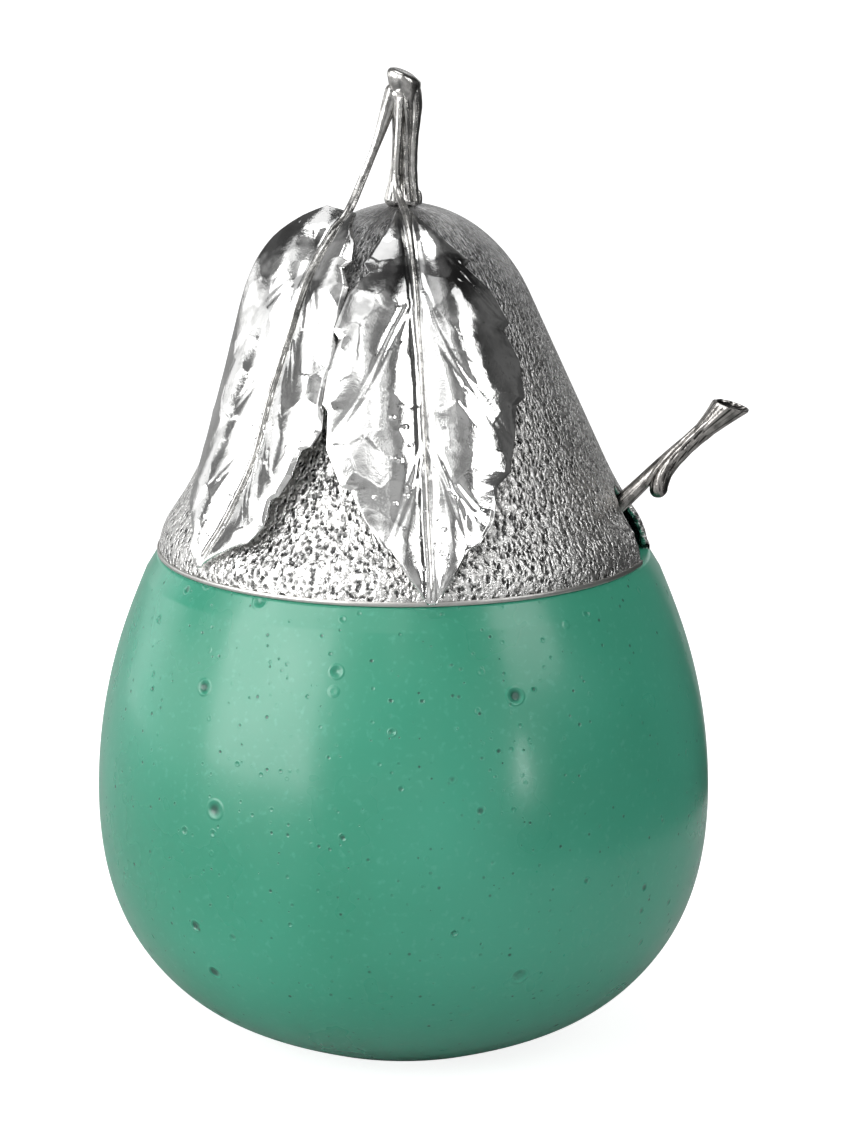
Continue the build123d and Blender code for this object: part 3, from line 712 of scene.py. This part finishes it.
def leaf(name, seed):
    """One leaf's sheet with its chasing, and the round-wire stalk and midrib."""
    facts = LEAVES[name]
    rows, columns = LEAF_ROWS, LEAF_COLUMNS
    axes, place, side, height, centre = leaf_surface(facts, rows, columns)
    base, frame_axes = axes
    relief = leaf_relief(facts, place, side, centre, seed)
    share = np.abs(np.linspace(-1, 1, columns))
    calm = np.clip((1 - share) * 9, 0, 1)[None, :]
    top = height + relief * (0.35 + 0.65 * calm) - LEAF_SINK
    inward = np.clip((1 - share) * 7, 0, 1)[None, :]
    thick = EDGE_THICKNESS + (SHEET - EDGE_THICKNESS) * inward
    under = top - thick
    middle = (top + under) / 2
    left = np.stack([place[:, :1], side[:, :1] - EDGE_OUT, middle[:, :1]], -1)
    right = np.stack([place[:, -1:], side[:, -1:] + EDGE_OUT, middle[:, -1:]], -1)
    upper = np.stack([place, side, top], -1)
    lower = np.stack([place, side, under], -1)[:, ::-1]
    loop = np.concatenate([left, upper, right, lower], 1)
    ends = []
    for row, push in ((0, -0.1), (-1, 0.15)):
        ring = loop[row].copy()
        spot = ring.mean(0)
        ends.append(spot + (ring - spot) * 0.05 + np.array([push, 0, 0]))
    loop = np.concatenate([[ends[0]], loop, [ends[1]]])
    points = base + loop @ frame_axes
    node = f"{name}_leaf"
    grid_object(f"{name}_leaf_sheet", points, "lid", [node], "plate", metals["leaf"], (False, True))
    rib_rows = np.arange(0, rows - 6, 3)
    middle_column = np.argmin(np.abs(np.linspace(-1, 1, columns)))
    width = np.interp(np.linspace(0, 1, len(rib_rows)), (0, 0.25, 1), (0.95, 0.6, 0.28))
    rib = np.stack([place[rib_rows, 0], centre[rib_rows],
                    (height + relief)[rib_rows, middle_column] + width * 0.25 - LEAF_SINK], 1)
    rib = base + rib @ frame_axes
    start = [np.array(point) + (0, 0, CROWN_TOP) for point in STALKS[name]["points"]]
    bend = spline([*start, rib[0], rib[8]], 60)[:-8]
    path = np.concatenate([bend, rib[6:]])
    path = spline(path[::3], RIB_SAMPLES)
    travel = np.linalg.norm(path - rib[0], axis=1)
    turn_row = int(np.argmin(travel))
    width = np.concatenate([
        np.interp(np.linspace(0, 1, turn_row), (0, 0.5, 1), STALKS[name]["radii"]),
        np.interp(np.linspace(0, 1, RIB_SAMPLES - turn_row), (0, 0.2, 1), (0.72, 0.42, 0.2)),
    ])
    width = rounded_ends(blurred(width, 4), np.linalg.norm(path[1] - path[0]))
    turns = np.linspace(0, 2 * math.pi, RIB_SIDES, endpoint=False)
    ripple = 0.07 * np.sin(3 * turns + np.linspace(0, 5, RIB_SAMPLES)[:, None])
    ripple += 0.03 * np.sin(7 * turns + np.linspace(0, 21, RIB_SAMPLES)[:, None])
    points = tube(path, width, RIB_SIDES, ripple)
    grid_object(f"{name}_leaf_rib", points, "lid", [f"{node}_stalk"], "plate", metals["twig"],
                (False, True))


STALKS = {
    "front": {"points": ((-0.5, -1.9, 18.6), (-0.75, -2.5, 13), (-1.05, -2.75, 8.5),
                         (-1.1, -2.9, 4.0)),
              "radii": (0.6, 0.55, 0.66)},
    "left": {"points": ((-1.1, -0.3, 20.0), (-2.1, -0.5, 17.2), (-4.3, -1.2, 10.6),
                        (-7.2, -2.4, 3.4)),
             "radii": (1.5, 0.62, 0.72)},
}


# Stem
STEM_TOP = 162.0
STRAND_SIDES = 48


def strand(name, points, radii, body, nodes, slot, material, wave=0.06, ridge=None, count=140):
    """A cast strand: a tube through points, with its radii, ripples and a sharp ridge."""
    path = spline(points, count)
    share = np.linspace(0, 1, count)
    width = np.interp(share, np.linspace(0, 1, len(radii)), radii)
    width = rounded_ends(blurred(width, count / 40), np.linalg.norm(path[1] - path[0]))
    turns = np.linspace(0, 2 * math.pi, STRAND_SIDES, endpoint=False)
    drift = share[:, None]
    ripple = wave * np.sin(3 * turns + 4 * drift) + 0.5 * wave * np.sin(7 * turns - 6 * drift)
    ripple = ripple + 0.25 * wave * np.sin(13 * turns + 40 * drift)
    if ridge is not None:
        gap = np.angle(np.exp(1j * (turns[None, :] - ridge)))
        ripple = ripple + 0.2 * np.exp(-(gap / 0.2) ** 2) * np.sin(math.pi * drift) ** 0.3
    points = tube(path, width, STRAND_SIDES, ripple)
    grid_object(name, points, body, nodes, slot, material, (False, True))


def stem():
    """The cast twig: fused strands that end in a rounded knob with a slanting cut."""
    up, top = CROWN_TOP, STEM_TOP
    facts = ("lid", [], "plate", metals["twig"])
    stud = np.array([(0, 0, up + 0.5), (0, 0, up - 4.7)])
    path = stud[0] + (stud[1] - stud[0]) * np.linspace(0, 1, 60)[:, None]
    width = 1.5 + 0.04 * np.sin(np.linspace(0, 60, 60)) - np.linspace(0, 1, 60) ** 24 * 0.35
    grid_object("stem_stud", tube(path, rounded_ends(width, 0.09), 32), "lid", ["stem"], "plate",
                metals["inner"], (False, True))
    strand("stem_core", [(0.2, 0.5, up - 0.3), (0.55, 0.5, up + 6), (0.75, 0.4, up + 13),
                         (0.8, 0.3, up + 18), (0.1, 0, top - 2.3)],
           (2.9, 2.0, 1.75, 1.75, 1.8, 2.0, 2.2), *facts, 0.05)
    strand("stem_left", [(-1.9, -0.6, up - 0.2), (-1.15, -0.6, up + 5), (-0.85, -0.6, up + 11),
                         (-0.7, -0.5, up + 16), (-0.6, -0.2, top - 2.6)],
           (1.5, 1.1, 0.95, 0.95, 1.3, 1.9), *facts, 0.05)
    strand("stem_right", [(1.8, -0.7, up - 0.1), (1.5, -0.7, up + 5), (1.7, -0.7, up + 12),
                          (1.9, -0.5, up + 17), (1.0, -0.4, top - 1.6)],
           (1.1, 0.8, 0.75, 0.8, 0.95, 1.3), *facts, 0.05)
    strand("stem_middle", [(0.7, -1.7, up + 0.2), (0.45, -1.35, up + 6), (0.55, -1.2, up + 12),
                           (0.2, -1.35, up + 17), (-0.7, -0.9, top - 2.4)],
           (0.9, 0.6, 0.5, 0.55, 0.8, 1.3), *facts, 0.04)
    strand("stem_spur", [(2.3, -0.7, up + 0.2), (2.55, -0.8, up + 1.4), (2.3, -0.9, up + 2.6)],
           (0.7, 0.5, 0.4), *facts, 0.03, None, 30)
    turns = np.linspace(0, 2 * math.pi, 64, endpoint=False)
    rings = []
    for share, size, rise in ((0, 0.6, -7), (0.1, 0.74, -6), (0.25, 0.88, -4.6), (0.4, 0.98, -3.2),
                              (0.55, 1.03, -2), (0.7, 1.05, -1.2), (0.8, 1.0, -0.7),
                              (0.88, 0.94, -0.4), (0.93, 0.84, -0.15), (0.97, 0.66, 0.0),
                              (1, 0.5, 0.04), (1, 0.3, 0.02), (1, 0.01, 0.02)):
        x = -0.15 + (0.55 - share * 0.55) + 2.6 * size * np.cos(turns)
        y = 2.35 * size * np.sin(turns)
        lean = -0.33 * np.clip(share * 1.4 - 0.4, 0, 1)
        z = top + 0.3 + rise + lean * (x + 2.4) * (0.5 + 0.16 * (x + 2.4))
        ripple = 1 + 0.02 * np.sin(5 * turns + 3 * share) + 0.012 * np.sin(11 * turns)
        rings.append(np.stack([x * ripple, y * ripple, z], -1))
    grid_object("stem_knob", smoothed(rings, 80, 2.0), *facts, (False, True))


# Spoon
SPOON_TURN = math.radians(-7.5)
SPOON_RISE = math.radians(43)
HEAD_ROWS = 100
BOWL_HALF = (18.0, 12.0, 5.0)
BOWL_WALL = 1.2
BOWL_REACH = 97

# Reach and height of the handle's axis where it leans just off the neck's lip
REST = (31.1607, 86.5694)


def spoon_place(points):
    """Points along, across and above the handle, put where the spoon rests."""
    points = np.asarray(points, float)
    along, aside, above = points[..., 0], points[..., 1], points[..., 2]
    reach = REST[0] + along * math.cos(SPOON_RISE) - above * math.sin(SPOON_RISE)
    height = REST[1] + along * math.sin(SPOON_RISE) + above * math.cos(SPOON_RISE)
    return np.stack([
        reach * math.cos(SPOON_TURN) - aside * math.sin(SPOON_TURN),
        reach * math.sin(SPOON_TURN) + aside * math.cos(SPOON_TURN),
        height,
    ], -1)


def spoon_strand(name, points, radii, nodes, ridge=None, wave=0.08, count=200):
    """One strand of the handle, through points along, across and above it."""
    facts = ("spoon", nodes, "dark_plate", metals["dark_twig"])
    strand(name, spoon_place(points), radii, *facts, wave, ridge, count)


def spoon_handle():
    """The twig handle: a shank, a grafted twig with a pruned stub, and a dished cut end."""
    spoon_strand("spoon_shank", [(-62.4, 0, 0), (-40, 0, 0), (0, 0, 0), (10, 0.1, 0.05),
                                 (17, 0.35, 0.35), (24, 0.3, 0.3), (28, 0.2, 0.1)],
                 (1.45, 1.7, 1.72, 1.75, 1.75, 1.75, 1.75, 1.6, 1.3, 1.05, 0.9), ["spoon_handle"],
                 None, 0.05, 260)
    spoon_strand("spoon_twig", [(29.5, -0.1, -0.1), (24, -0.3, -0.15), (18.5, -0.5, -0.35),
                                (15, -0.8, -1.0), (12.9, -0.9, -2.3), (12.0, -0.9, -3.5)],
                 (1.7, 1.45, 1.35, 1.25, 1.2, 1.25, 1.35, 1.5, 1.45), [], 2.2)
    spoon_strand("spoon_fibre", [(27, 0.2, 0.9), (20, -0.6, 0.8), (14.5, -1.3, 0.3),
                                 (11.6, -1.2, -0.6)],
                 (0.6, 0.62, 0.6, 0.55, 0.35), [], None, 0.04, 90)
    turns = np.linspace(0, 2 * math.pi, 72, endpoint=False)
    slant = math.tan(math.radians(31))
    rings = []
    for along, size, cut in ((22.5, 1.1, 0), (24, 1.35, 0), (25.3, 1.6, 0.1), (26.6, 1.8, 0.3),
                             (27.8, 1.98, 0.55), (29, 2.2, 0.8), (30, 2.4, 0.95), (30.7, 2.54, 1),
                             (31.0, 2.55, 1), (31.15, 2.45, 1), (31.1, 2.25, 1), (30.75, 2.0, 1),
                             (30.5, 1.6, 1), (30.45, 0.9, 1), (30.45, 0.02, 1)):
        across = size * np.cos(turns)
        above = size * np.sin(turns)
        rings.append(np.stack([along - cut * slant * above, across, above], -1))
    points = smoothed(rings, HEAD_ROWS, 1.6)
    fade = np.clip(1 - np.abs(np.linspace(-1, 1, HEAD_ROWS)), 0.1, 1)[:, None]
    bumps = 0.09 * np.sin(9 * turns) + 0.05 * np.sin(17 * turns + 1)
    points[..., 1] += fade * bumps * np.cos(turns)
    points[..., 2] += fade * bumps * np.sin(turns)
    grid_object("spoon_head", spoon_place(points), "spoon", [], "dark_plate",
                metals["dark_twig"], (False, True))


def spoon_bowl():
    """The oval bowl, with a rolled rim."""
    rows, sides = 40, 96
    turns = np.linspace(0, 2 * math.pi, sides, endpoint=False)
    half, wall = BOWL_HALF, BOWL_WALL
    rings = []
    for down in np.linspace(90, 0, rows):
        angle = math.radians(down)
        rings.append((half[0] * math.cos(angle), half[1] * math.cos(angle),
                      -half[2] * math.sin(angle)))
    for roll in np.linspace(0, 180, 9)[1:-1]:
        inset = wall / 2 * (1 - math.cos(math.radians(roll)))
        rings.append((half[0] - inset, half[1] - inset, 0.0))
    for down in np.linspace(0, 90, rows):
        angle = math.radians(down)
        rings.append(((half[0] - wall) * math.cos(angle), (half[1] - wall) * math.cos(angle),
                      -(half[2] - wall) * math.sin(angle)))
    points = []
    for long, wide, low in rings:
        points.append(np.stack([18 - BOWL_REACH + long * np.cos(turns), wide * np.sin(turns),
                                low + 0 * turns], -1))
    grid_object("spoon_bowl_shell", spoon_place(np.array(points)), "spoon", ["spoon_bowl"],
                "plate", metals["inner"], (False, True))


# Build
metals = {
    "leaf": leaf_metal(),
    "twig": twig_metal("twig_plate", (0.62, 0.61, 0.59, 1), (0.08, 0.08, 0.08, 1), 0.2),
    "dark_twig": twig_metal("twig_plate_dark", (0.46, 0.44, 0.42, 1), (0.05, 0.048, 0.045, 1),
                            0.22),
    "inner": plain_metal(),
}
pot()
lid()
lid_band()
stem()
leaf("front", 11)
leaf("left", 23)
spoon_handle()
spoon_bowl()
for name in ("stem_washer", "stem_nut"):
    node = frame["nodes"][name]
    node.data.materials.clear()
    node.data.materials.append(metals["inner"])


# Stage: floor, cards of several tones that only reflections show, lamps, world and camera
CARD_FAR = 2.4
CARD_MIDDLE = 0.09
CARD_DROP = 0.088
CARD_COLUMNS = 24
CARD_ROWS = 12
LAMP_TARGET = (0, 0, 0.08)
VIEW_TARGET = (0, 0, 0.08)
VIEW_DOWN = 13.3
VIEW_FAR = 1.25
SENSOR = 36
PICTURE_HEIGHT = 1129
FOCAL_PIXELS = 7600
SHIFT_PIXELS = (20, -3.24)


def plane(name, centre, toward, width, height):
    """A flat stage panel that faces a point."""
    centre = Vector(centre)
    turn = (Vector(toward) - centre).to_track_quat("Z", "Y").to_matrix().to_4x4()
    mesh = bpy.data.meshes.new(name)
    corners = [(-width / 2, -height / 2, 0), (width / 2, -height / 2, 0),
               (width / 2, height / 2, 0), (-width / 2, height / 2, 0)]
    mesh.from_pydata([Vector(corner) for corner in corners], [], [(0, 1, 2, 3)])
    mesh.transform(Matrix.Translation(centre) @ turn)
    panel = bpy.data.objects.new(name, mesh)
    bpy.context.scene.collection.objects.link(panel)
    return panel


def card(name, turns, rises, tone):
    """A curved card that only reflections see, between two turns from -Y and two rises."""
    mesh = bpy.data.meshes.new(name)
    across = np.radians(np.linspace(*turns, CARD_COLUMNS + 1))
    up = np.radians(np.linspace(*rises, CARD_ROWS + 1))
    points = []
    for rise in up:
        far = CARD_FAR
        if rise < 0:
            far = min(CARD_FAR, CARD_DROP / max(1e-6, -math.sin(rise)))
        level = far * math.cos(rise)
        for turn in across:
            points.append((level * math.sin(turn), -level * math.cos(turn),
                           CARD_MIDDLE + far * math.sin(rise)))
    faces = []
    for row in range(CARD_ROWS):
        for column in range(CARD_COLUMNS):
            first = row * (CARD_COLUMNS + 1) + column
            above = first + CARD_COLUMNS + 1
            faces.append((first, first + 1, above + 1, above))
    mesh.from_pydata(points, [], faces)
    panel = bpy.data.objects.new(name, mesh)
    bpy.context.scene.collection.objects.link(panel)
    material = bpy.data.materials.new(name)
    material.use_nodes = True
    tree = material.node_tree
    tree.nodes.clear()
    make = Nodes(tree)
    place = make.add("ShaderNodeTexCoord").outputs["Object"]
    cloud = make.step(make.noise(place, 0.9, 2), 0.35, 0.65, 0.55 * tone, 1.6 * tone)
    glow = make.add("ShaderNodeEmission", {"Strength": cloud})
    out = make.add("ShaderNodeOutputMaterial")
    tree.links.new(glow.outputs[0], out.inputs["Surface"])
    mesh.materials.append(material)
    panel.visible_camera = False
    panel.visible_diffuse = False
    panel.visible_shadow = False
    panel.visible_transmission = False


def lamp(name, centre, width, height, power):
    """A soft rectangular lamp that faces the pot."""
    light = bpy.data.lights.new(name, "AREA")
    light.shape = "RECTANGLE"
    light.size, light.size_y, light.energy = width, height, power
    holder = bpy.data.objects.new(name, light)
    centre = Vector(centre)
    turn = (Vector(LAMP_TARGET) - centre).to_track_quat("-Z", "Y")
    holder.matrix_world = Matrix.Translation(centre) @ turn.to_matrix().to_4x4()
    bpy.context.scene.collection.objects.link(holder)


def floor():
    """A plain pale floor, white to the camera outside the pot's shadow."""
    panel = plane("floor", (0, 0, 0), (0, 0, 1), 12, 12)
    material, tree, surface = shader("floor", Roughness=0.9)
    make = Nodes(tree)
    surface.inputs["Base Color"].default_value = (0.5, 0.5, 0.5, 1)
    surface.inputs["Emission Color"].default_value = (1, 1, 1, 1)
    ray = make.add("ShaderNodeLightPath").outputs
    tree.links.new(make.math("MULTIPLY", ray["Is Camera Ray"], 0.85),
                   surface.inputs["Emission Strength"])
    panel.data.materials.append(material)


def world():
    """White to the camera and in reflections, and a soft grey light otherwise."""
    space = bpy.data.worlds.new("studio")
    bpy.context.scene.world = space
    space.use_nodes = True
    tree = space.node_tree
    make = Nodes(tree)
    ray = make.add("ShaderNodeLightPath").outputs
    shown = make.math("MAXIMUM", ray["Is Camera Ray"], ray["Is Glossy Ray"])
    shown = make.math("MAXIMUM", shown, ray["Is Transmission Ray"])
    backdrop = tree.nodes["Background"].inputs
    tree.links.new(make.step(shown, 0.0, 1.0, 0.32, 1.0), backdrop["Strength"])
    backdrop["Color"].default_value = (1, 1, 1, 1)


def camera():
    """The photograph's view, from the front and a little above."""
    down = math.radians(VIEW_DOWN)
    target = Vector(VIEW_TARGET)
    spot = target + VIEW_FAR * Vector((0, -math.cos(down), math.sin(down)))
    lens = bpy.data.cameras.new("camera")
    lens.sensor_width = SENSOR
    lens.lens = SENSOR * FOCAL_PIXELS / PICTURE_HEIGHT
    lens.shift_x, lens.shift_y = (shift / PICTURE_HEIGHT for shift in SHIFT_PIXELS)
    holder = bpy.data.objects.new("camera", lens)
    turn = (target - spot).to_track_quat("-Z", "Y").to_matrix().to_4x4()
    holder.matrix_world = Matrix.Translation(spot) @ turn
    bpy.context.scene.collection.objects.link(holder)
    bpy.context.scene.camera = holder


floor()
world()
camera()
lamp("key", (-1.25, -0.8, 0.6), 1.3, 1.2, 20)
lamp("right", (1.15, -0.75, 0.95), 0.7, 0.85, 5.5)
lamp("streak", (0.95, -0.95, 0.1), 0.1, 0.35, 1.2)
lamp("top", (-0.1, 0.1, 1.6), 0.8, 0.8, 7)
card("card_wall", (-136, -27), (-6, 12), 1.15)
card("card_wall_middle", (-100, -27), (12, 26), 1.15)
card("card_wall_left", (-96, -62), (26, 58), 1.3)
card("card_wall_grey", (-58, -40), (26, 58), 0.45)
card("card_wall_right", (-38, 4), (26, 58), 1.3)
for name, turn in (("back", -100), ("left", -62), ("right", -40), ("front", 4)):
    card("card_line_" + name, (turn, turn + 4), (26, 60), 0.1)
card("card_edge", (-27, -24), (-12, 26), 0.12)
card("card_front", (-24, 14), (4, 26), 0.5)
card("card_front_right", (14, 36), (-28, 62), 0.26)
card("card_right", (36, 152), (-28, 62), 0.07)
card("card_left_back", (-172, -100), (12, 62), 0.22)
card("card_back", (152, 208), (12, 62), 0.16)
card("card_top", (-180, 180), (60, 90), 0.2)
bpy.context.scene.view_settings.view_transform = "Standard"
